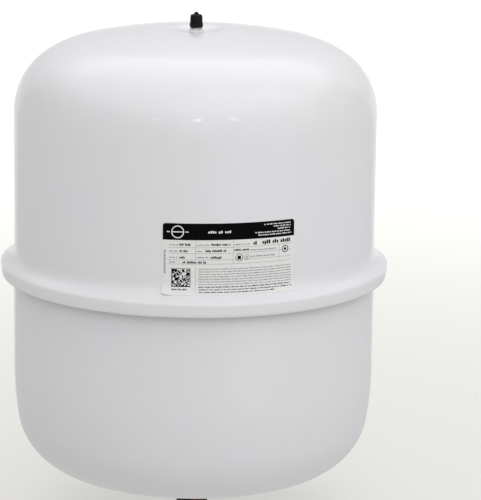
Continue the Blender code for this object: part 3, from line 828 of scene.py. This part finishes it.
def surface_blob(name, path, centre_turn, half_turn, thickness, seed, look):
    """A dab that follows an outline over a stretch of turn, thick in its middle and thin at its edge."""
    over, across = 16, 14
    points = [Vector(point) for point in path]
    outward = [Vector(point) for point in offset_outline(path, 1.0)]
    mesh = bmesh.new()
    grids = []
    for lift, sunk in ((1.0, 0.02), (0.0, 0.05)):
        grid = []
        for i in range(over + 1):
            along = i / over
            first = min(int(along * (len(path) - 1)), len(path) - 2)
            point = points[first].lerp(points[first + 1], along * (len(path) - 1) - first)
            normal = outward[first] - points[first]
            width = half_turn * sqrt(max(1.0 - (2 * along - 1) ** 2, 0.0))
            width *= 1.0 + 0.35 * noise.noise(Vector((3.0 * along, seed, 0.0)))
            row = []
            for j in range(across + 1):
                side = 2 * j / across - 1
                swell = sqrt(max(1.0 - (2 * along - 1) ** 4, 0.0) * max(1.0 - side ** 4, 0.0))
                radius, height = point + normal * (thickness * swell * lift - sunk)
                row.append(add_vertex(mesh, radius, rad(centre_turn + width * side), height))
            grid.append(row)
        grids.append(grid)
    close_grids(mesh, *grids)
    place_on(finish_mesh(name, mesh, look, merge=0.0005, sharp=60.0), VALVE_Z, "seal_red")


def close_grids(mesh, top, bottom):
    """Faces over two grids of vertices, and round their edges, so that they enclose a solid."""
    rows, columns = len(top), len(top[0])
    for grid in (top, bottom):
        for i in range(rows - 1):
            for j in range(columns - 1):
                mesh.faces.new((grid[i][j], grid[i][j + 1], grid[i + 1][j + 1], grid[i + 1][j]))
    rim = [(0, j) for j in range(columns)] + [(i, columns - 1) for i in range(1, rows)]
    rim += [(rows - 1, j) for j in range(columns - 2, -1, -1)] + [(i, 0) for i in range(rows - 2, 0, -1)]
    for (i, j), (k, m) in zip(rim, rim[1:] + rim[:1]):
        mesh.faces.new((top[i][j], top[k][m], bottom[k][m], bottom[i][j]))


def make_lacquer(red):
    """Dabs of locking lacquer: over the rim, a streak in front, and two on the stem's base."""
    side = [(STEM_MAJOR, STEM_TOP - 3.0), (STEM_MAJOR, STEM_TOP - 1.6)]
    over_rim = side + stem_rim() + [(STEM_BORE, STEM_TOP - 1.0)]
    surface_blob("lacquer_rim", over_rim, -28.0, 24.0, 0.17, 1.0, red)
    streak = [(STEM_MAJOR, STEM_TOP - 1.5)] + stem_rim()
    surface_blob("lacquer_streak", streak, -88.0, 5.0, 0.1, 2.0, red)
    base = [(STEM_BASE_RADIUS, VALVE_BOSS_TOP - 0.1), (STEM_BASE_RADIUS, STEM_BASE_TOP - 0.4)]
    surface_blob("lacquer_base", base, -80.0, 9.0, 0.2, 3.0, red)
    surface_blob("lacquer_spot", base, -128.0, 5.0, 0.15, 4.0, red)


# --- dust cap


def cap_side(radius, height, angle):
    """Ribs on the cap's body, and the flat sides of its collar with their chamfered corners."""
    if radius < CAP_BORE + 0.35 or height > CAP_SHOULDER + 1.2:
        return radius, height
    if height > COLLAR_TOP + 0.05:
        fade = smooth_step((CAP_SHOULDER + 0.6 - height) / 1.2)
        rib = 0.5 + 0.5 * cos(CAP_RIBS * angle)
        return radius + fade * (0.14 * smooth_step(rib) - 0.07), height
    half_side = pi / COLLAR_SIDES
    off_middle = angle % (2 * half_side) - half_side
    flat = COLLAR_RADIUS * cos(half_side) / cos(off_middle)
    upper_chamfer = CAP_RADIUS + 0.2 + 0.9 * (COLLAR_TOP - height)
    lower_chamfer = COLLAR_RADIUS - 0.25 + 1.2 * (height - CAP_FOOT)
    return min(flat, upper_chamfer, lower_chamfer), height


def make_cap(plastic):
    mesh = bmesh.new()
    segments = 120
    knob_round, knob_foot, crown_round = 1.5, 0.4, 1.6
    top_radius = CAP_RADIUS - 0.05
    mouth = CAP_BORE + 0.3
    outer = straight((0.0, KNOB_TOP), (KNOB_RADIUS - knob_round, KNOB_TOP), 2)
    outer += arc((KNOB_RADIUS - knob_round, KNOB_TOP - knob_round), knob_round, 90.0, 0.0, 6)[1:]
    outer += arc((KNOB_RADIUS + knob_foot, CAP_CROWN + knob_foot), knob_foot, 180.0, 260.0, 4)
    outer += arc((top_radius - crown_round, CAP_CROWN - 0.1 - crown_round), crown_round, 80.0, 0.0, 9)
    outer += straight((top_radius, CAP_CROWN - 0.3 - crown_round), (CAP_RADIUS + 0.1, COLLAR_TOP + 0.1), 8)
    outer += straight((COLLAR_RADIUS, COLLAR_TOP), (COLLAR_RADIUS, CAP_FOOT), 18)
    outer += [(mouth, CAP_FOOT), (CAP_BORE, CAP_FOOT + 0.5), (CAP_BORE, CAP_THREAD_BOTTOM)]
    revolve(mesh, outer, segments, closed=False, shape=cap_side)
    inner = [(CAP_BORE, CAP_THREAD_TOP), (CAP_BORE, CAP_BORE_TOP), (0.0, CAP_BORE_TOP)]
    revolve(mesh, inner, segments, closed=False)

    def radius_at(place, height):
        room = min(height - CAP_THREAD_BOTTOM, CAP_THREAD_TOP - height) / VALVE_PITCH
        return between(CAP_BORE, CAP_THREAD_TIP, thread_form(place) * smooth_step(room))

    add_thread(mesh, segments, VALVE_PITCH, CAP_THREAD_BOTTOM, CAP_THREAD_TOP, radius_at, 8)
    cap = finish_mesh("dust_cap", mesh, plastic, merge=0.002, sharp=25.0)
    place_on(cap, VALVE_Z, "black_plastic", "valve_cap", body="cap")


def make_washer(black):
    low, high = box_mm("valve_cap_washer")
    thickness = high.z - low.z
    edge = 0.25
    outer, inner = high.x - edge, 1.4
    outline = []
    for radius, height, start in ((outer, thickness - edge, 90.0), (outer, edge, 0.0),
                                  (inner, edge, -90.0), (inner, thickness - edge, 180.0)):
        outline += arc((radius, height), edge, start, start - 90.0, 4)
    turned_piece("cap_washer", outline, VALVE_SEGMENTS, black, low.z, "black_rubber", "valve_cap_washer",
                 body="cap_washer")


# --- diaphragm


def make_diaphragm(black):
    """The diaphragm's wall, which on the real vessel flattens towards the seam as its crown is pushed up;
    here it lies at rest inside the lower half.
    """
    bend = arc((LOWER_RADIUS + FLANGE_FILLET, FLANGE_UNDER - FLANGE_FILLET), FLANGE_FILLET, 108.0, 180.0, 4)
    profile = LOWER_HEAD.crown(DIAPHRAGM_EDGE, 2) + LOWER_HEAD.knuckle((6, 14))
    head = [(radius, -height) for radius, height in reversed(profile)]
    outer = offset_outline(bend + straight(bend[-1], head[0], 8)[1:-1] + head, SHEET + DIAPHRAGM_GAP)
    section = outer + list(reversed(offset_outline(outer, DIAPHRAGM_SHEET)))
    wall = turned_piece("diaphragm_side", section, 96, black, SEAM_Z, "black_rubber", "diaphragm_wall")
    squash_upright(wall)
    dress("diaphragm_bead", black)
    dress("diaphragm_crown", black)


# --- rating label


class LabelSheet:
    """The label's own flat coordinates, in millimetres: u from its left edge, v down from its top."""

    def __init__(self):
        fillet, _ = seam_side(12)
        self.bend_top = fillet[0][1]
        self.centre = (UPPER_RADIUS + SEAM_FILLET, self.bend_top)
        self.left = -90.0 + LABEL_CENTRE_TURN - LABEL_TURN / 2
        self.width = rad(LABEL_TURN) * UPPER_RADIUS
        self.straight = LABEL_TOP - self.bend_top
        self.height = self.straight + SEAM_FILLET * asin((self.bend_top - LABEL_FOOT) / SEAM_FILLET)

    def curl(self, u, v):
        """How far the bottom left corner has lifted."""
        from_corner = hypot(u, self.height - v)
        return CURL_HEIGHT * (1.0 - smooth_step(from_corner / CURL_REACH)) ** 1.5

    def point(self, u, v, lift):
        lift += self.curl(u, v)
        angle = rad(self.left) + u / UPPER_RADIUS
        if v <= self.straight:
            radius, height = UPPER_RADIUS + lift, LABEL_TOP - v
        else:
            turn = (v - self.straight) / SEAM_FILLET
            radius = self.centre[0] - (SEAM_FILLET - lift) * cos(turn)
            height = self.centre[1] - (SEAM_FILLET - lift) * sin(turn)
        return radius * cos(angle), radius * sin(angle), height


SHEET_MAP = LabelSheet()
WRITING = random.Random(7)


def add_tile(mesh, grid, top, foot):
    """A thin closed tile on the label, over a grid of (u, v) places."""
    layers = [[[mesh.verts.new(SHEET_MAP.point(u, v, lift)) for u, v in row] for row in grid]
              for lift in (top, foot)]
    close_grids(mesh, *layers)


class Ink:
    """One colour of printing, as thin closed tiles on the label."""

    def __init__(self, top=INK_TOP):
        self.mesh = bmesh.new()
        self.top = top

    def tile(self, grid):
        """A tile over a grid of (u, v) places."""
        add_tile(self.mesh, grid, self.top, INK_FOOT)

    def box(self, u0, v0, u1, v1, size=3.0):
        """A rectangle, in steps short enough to follow the curve."""
        across = max(1, ceil((u1 - u0) / size))
        down = max(1, ceil((v1 - v0) / size))
        self.tile([[(u0 + (u1 - u0) * i / across, v0 + (v1 - v0) * j / down) for i in range(across + 1)]
                   for j in range(down + 1)])

    def ring(self, u, v, outer, inner):
        """A ring, or a disc round a hole too small to see."""
        self.tile([arc((u, v), radius, 0.0, 360.0, 36) for radius in (outer, inner)])

    def words(self, u0, u1, v, height, density=0.72):
        """A line of made-up writing: runs of small blocks with gaps, which spell nothing."""
        u = u0
        pitch = height * density
        while u < u1 - pitch:
            for _ in range(WRITING.randint(2, 8)):
                if u > u1 - pitch:
                    break
                low = v - height * (1.0 if WRITING.random() < 0.3 else 0.74)
                self.box(u, low, u + pitch * 0.76, v + height * (0.2 if WRITING.random() < 0.12 else 0.0))
                u += pitch
            u += pitch * 0.9

    def finish(self, name, look):
        place_on(finish_mesh(name, self.mesh, look), SEAM_Z, "label_film")


def corner_rows(corner, steps):
    """Distances from an edge to the end of a rounded corner, closer together towards the edge."""
    return [corner * (1.0 - cos(rad(90.0 * i / steps))) for i in range(steps)]


def corner_inset(corner, from_edge):
    """How far a rounded corner draws the side in, at a distance from the edge."""
    return corner - sqrt(max(corner ** 2 - max(corner - from_edge, 0.0) ** 2, 0.0))


def label_row(v, inset, columns):
    """Places across the label, less an inset at both ends."""
    step = (SHEET_MAP.width - 2 * inset) / columns
    return [(inset + step * j, v) for j in range(columns + 1)]


def make_film(film):
    """The label's white film, with rounded corners."""
    corner, rows, columns = 2.6, 30, 48
    height = SHEET_MAP.height
    top_rows = corner_rows(corner, 5)
    middle_rows = [between(corner, height - corner, i / rows) for i in range(rows + 1)]
    bottom_rows = [height - v for v in reversed(top_rows)]
    grid = [label_row(v, corner_inset(corner, min(v, height - v)), columns)
            for v in top_rows + middle_rows + bottom_rows]
    mesh = bmesh.new()
    add_tile(mesh, grid, FILM_TOP, FILM_FOOT)
    place_on(finish_mesh("label_sheet", mesh, film), SEAM_Z, "label_film", "rating_label")


def print_header(black, white):
    """A black band with rounded top corners, a pictogram and small white made-up writing."""
    corner, edge, rows, columns = 2.4, 0.15, 5, 40
    heights = corner_rows(corner, 6) + [between(corner, HEADER_HEIGHT, i / rows) for i in range(rows + 1)]
    black.tile([label_row(edge + v, edge + corner_inset(corner, v), columns) for v in heights])
    print_pictogram(white, 12.0, 7.0)
    white.words(36.0, 54.5, 8.0, 1.9, 0.9)
    for down, start in ((2.9, 81.5), (4.9, 89.5), (6.9, 93.0), (9.2, 74.0), (11.3, 76.5)):
        white.words(start, SHEET_MAP.width - 2.6, down, 1.0)


def print_pictogram(white, u, v):
    """The drawing symbol of an expansion vessel: a circle, a line across it, and two bars."""
    half_line = 0.4
    white.ring(u, v, 5.1, 4.3)
    for left, right in ((-4.5, 4.5), (-8.6, -6.2), (6.2, 8.6)):
        white.box(u + left, v - half_line, u + right, v + half_line)


def print_table(black, grey):
    """The table of ratings, as rules, captions and values. Heights count down from the header."""
    top = HEADER_HEIGHT
    left, right = 4.4, SHEET_MAP.width - 2.4
    rule = 0.22
    for down in (6.0, 10.8, 16.0, 19.4):
        grey.box(left, top + down, right, top + down + rule)
    for u, start, end in ((26.1, 0.3, 16.0), (56.0, 0.3, 19.4), (94.5, 6.0, 19.4), (26.1, 20.6, 43.0)):
        grey.box(u, top + start, u + rule, top + end)
    captions = ((5.6, 12.6, 4.6), (27.0, 37.5, 4.6), (57.0, 69.5, 4.6), (5.6, 12.0, 9.6), (27.0, 31.0, 9.6),
                (5.6, 12.0, 14.6), (27.0, 36.5, 14.6), (5.6, 10.5, 18.5), (70.0, 92.0, 9.6),
                (70.0, 92.0, 14.6))
    for start, end, down in captions:
        grey.words(start, end, top + down, 1.1)
    values = ((13.5, 22.5, 4.6), (38.5, 54.5, 4.6), (13.5, 21.0, 9.7), (34.0, 51.5, 9.7), (57.0, 69.5, 9.2),
              (13.5, 18.5, 15.0), (38.0, 48.0, 15.0), (16.0, 36.0, 18.9))
    for start, end, down in values:
        black.words(start, end, top + down, 1.8, 0.62)
    for start, end, height in ((72.5, 76.5, 2.6), (80.0, 105.0, 3.0)):
        black.words(start, end, top + 4.7, height, 0.6)


def print_symbols(black, grey):
    """Plain round marks in the table's right half, which stand for no real approval."""
    row, upper_row = HEADER_HEIGHT + 14.6, HEADER_HEIGHT + 10.2
    pinhole = 0.05
    black.ring(61.0, row, 3.1, 2.7)
    black.box(59.6, row - 1.4, 62.4, row + 1.4)
    grey.ring(67.2, row, 2.3, 1.9)
    grey.ring(67.2, row, 0.8, pinhole)
    black.ring(100.0, upper_row, 2.9, 2.3)
    black.ring(100.0, upper_row, 1.1, pinhole)


def dark_cell(row, column, last):
    """Two sides of the code are solid, two are dashed, and the cells inside are random."""
    if 0 < row < last and 0 < column < last:
        return WRITING.random() < 0.5
    dashed = (row == 0 and column % 2 == 0) or (column == last and row % 2 == 1)
    return column == 0 or row == last or dashed


def print_code(black):
    """A block of code cells that holds no message, with a line of made-up writing below."""
    cells = 18
    left, top, size = 7.3, HEADER_HEIGHT + 22.8, 15.2
    step = size / cells
    for row in range(cells):
        start = None
        upper, lower = top + row * step, top + (row + 1) * step
        for column in range(cells + 1):
            dark = column < cells and dark_cell(row, column, cells - 1)
            if dark and start is None:
                start = column
            if not dark and start is not None:
                black.box(left + start * step, upper, left + column * step, lower)
                start = None
    black.words(left, left + 12.6, top + size + 2.6, 1.2)


def print_small_lines(black, grey):
    """The block of small writing, and the narrow strip of it up the left edge."""
    top = HEADER_HEIGHT
    left, right = 28.7, SHEET_MAP.width - 2.4
    for line in range(7):
        grey.words(left, right, top + 23.9 + 2.06 * line, 0.85)
    for line, end in enumerate((right, right, 90.0)):
        black.words(left, end, top + 38.5 + 2.15 * line, 1.0)
    for step in range(17):
        v = top + 8.4 + 1.12 * step
        grey.box(1.1, v, 2.2 + 0.7 * WRITING.random(), v + 0.75)


def make_label():
    film = printed("label_film", (0.69, 0.695, 0.69), 0.4)
    black_look = printed("ink_black", (0.002, 0.002, 0.0025), 0.6, 0.04)
    grey_look = printed("ink_grey", (0.24, 0.24, 0.25), 0.4)
    white_look = printed("ink_white", (0.7, 0.71, 0.71), 0.34)
    make_film(film)
    black, grey, white = Ink(), Ink(), Ink(SECOND_INK_TOP)
    print_header(black, white)
    print_table(black, grey)
    print_symbols(black, grey)
    print_code(black)
    print_small_lines(black, grey)
    black.finish("print_black", black_look)
    grey.finish("print_grey", grey_look)
    white.finish("print_white", white_look)


# --- studio


def make_floor():
    """A plain pale floor that brightens away from the vessel, as a lit paper sweep does."""
    shade = (FLOOR_SHADE, FLOOR_SHADE, FLOOR_SHADE * 0.98, 1.0)
    look = Look("floor", Base_Color=shade, Roughness=0.85, Specular_IOR_Level=0.2,
                Emission_Color=(1.0, 0.99, 0.94, 1.0))
    away = look.node("ShaderNodeVectorMath")
    away.operation = "LENGTH"
    look.link(look.place, away.inputs[0])
    near, far = FLOOR_GLOW_REACH
    glow = look.node("ShaderNodeMapRange", From_Min=near, From_Max=far, To_Min=FLOOR_GLOW[0],
                     To_Max=FLOOR_GLOW[1])
    glow.interpolation_type = "SMOOTHSTEP"
    look.link(away.outputs["Value"], glow.inputs["Value"])
    look.link(glow.outputs["Result"], look.shader.inputs["Emission Strength"])
    mesh = bpy.data.meshes.new("floor")
    corners = [(x * FLOOR_REACH, y * FLOOR_REACH, 0.0) for x, y in ((-1, -1), (1, -1), (1, 1), (-1, 1))]
    mesh.from_pydata(corners, [], [(0, 1, 2, 3)])
    mesh.materials.append(look.material)
    floor = add_object("floor", mesh)
    floor.visible_glossy = False


def make_backdrop():
    """A white wall far off, all round, which only the camera sees: it lights and shades nothing."""
    wall = bmesh.new()
    radius, height = BACKDROP_RADIUS / MM, BACKDROP_HEIGHT / MM
    revolve(wall, [(radius, 0.0), (radius, height)], 64, closed=False)
    look = Look("backdrop", Base_Color=(*WHITE, 1.0), Roughness=1.0, Emission_Color=(*WHITE, 1.0),
                Emission_Strength=1.0)
    backdrop = finish_mesh("backdrop", wall, look.material)
    for rays in ("diffuse", "glossy", "transmission", "shadow"):
        setattr(backdrop, "visible_" + rays, False)


def make_sun(name, turn, power):
    """A very wide soft light from far away."""
    sun = bpy.data.lights.new(name, "SUN")
    sun.energy = power
    sun.angle = rad(SUN_SPREAD)
    add_object(name, sun).rotation_euler = (rad(SUN_TILT), 0.0, rad(turn))


def make_lamp(turn, power):
    """A small soft box that faces the middle of the vessel."""
    lamp = bpy.data.lights.new("lamp", "AREA")
    lamp.shape = "RECTANGLE"
    lamp.size, lamp.size_y = LAMP_SIZE
    lamp.energy = power
    thing = add_object("lamp", lamp)
    thing.location = (LAMP_DISTANCE * sin(rad(turn)), -LAMP_DISTANCE * cos(rad(turn)), LAMP_HEIGHT)
    thing.rotation_euler = (MIDDLE - thing.location).to_track_quat("-Z", "Y").to_euler()


def make_room():
    """A world as bright as a pale room: dim walls and a bright ceiling, blended by height."""
    world = bpy.data.worlds.new("room")
    room = Nodes(world, "Generated")
    split = room.node("ShaderNodeSeparateXYZ")
    room.link(room.place, split.inputs["Vector"])
    height = room.node("ShaderNodeMapRange", From_Min=-1.0)
    room.link(split.outputs["Z"], height.inputs["Value"])
    brightest = max(glow for _, glow in ROOM_GLOW)
    stops = [((level + 1.0) / 2.0, tint(WHITE, glow / brightest)) for level, glow in ROOM_GLOW]
    background = room.tree.nodes["Background"]
    background.inputs["Strength"].default_value = brightest
    room.link(room.ramp(height.outputs["Result"], stops, "EASE"), background.inputs["Color"])
    bpy.context.scene.world = world


def make_studio():
    bpy.context.scene.view_settings.view_transform = "Standard"
    make_floor()
    make_backdrop()
    make_room()
    for name, turn, power in SUNS:
        make_sun(name, turn, power)
    for turn, power in LAMPS:
        make_lamp(turn, power)


def make_camera():
    """A long lens from the front and a little above, with the slight roll of a hand-held shot."""
    camera = bpy.data.cameras.new("camera")
    camera.lens = CAMERA_LENS
    camera.shift_x, camera.shift_y = CAMERA_SHIFT
    camera.clip_end = CAMERA_SIGHT
    thing = add_object("camera", camera)
    back = Vector((0.0, -cos(rad(CAMERA_ELEVATION)), sin(rad(CAMERA_ELEVATION))))
    thing.location = MIDDLE + back * CAMERA_DISTANCE
    aim = (-back).to_track_quat("-Z", "Y").to_matrix()
    roll = Matrix.Rotation(rad(CAMERA_ROLL), 3, "Z")
    thing.rotation_euler = (aim @ roll).to_euler()
    bpy.context.scene.camera = thing


def main():
    white = powder_coat("white_coating")
    # A second copy of the white coating with stronger painted shade that reaches 14 mm and spans
    # neighbouring pieces.
    make_shells(white, powder_coat("shaded_coating", 0.2, 14.0, with_neighbours=True))
    steel = rusty_steel("bare_steel")
    make_nipple(steel)
    make_boss(white)
    make_nipple_paint(white)
    plated = zinc_plate("zinc_plate")
    black_rubber = rubber("black_rubber")
    red = lacquer("red_lacquer")
    seal = moulded_plastic("seal_red", (0.35, 0.03, 0.025))
    plastic = moulded_plastic("black_plastic", (0.004, 0.004, 0.0043))
    make_valve_boss(white)
    make_stem(plated)
    make_core(brass("brass"), plated, seal, black_rubber)
    make_lacquer(red)
    make_cap(plastic)
    make_washer(black_rubber)
    make_diaphragm(black_rubber)
    make_label()
    make_studio()
    make_camera()


main()
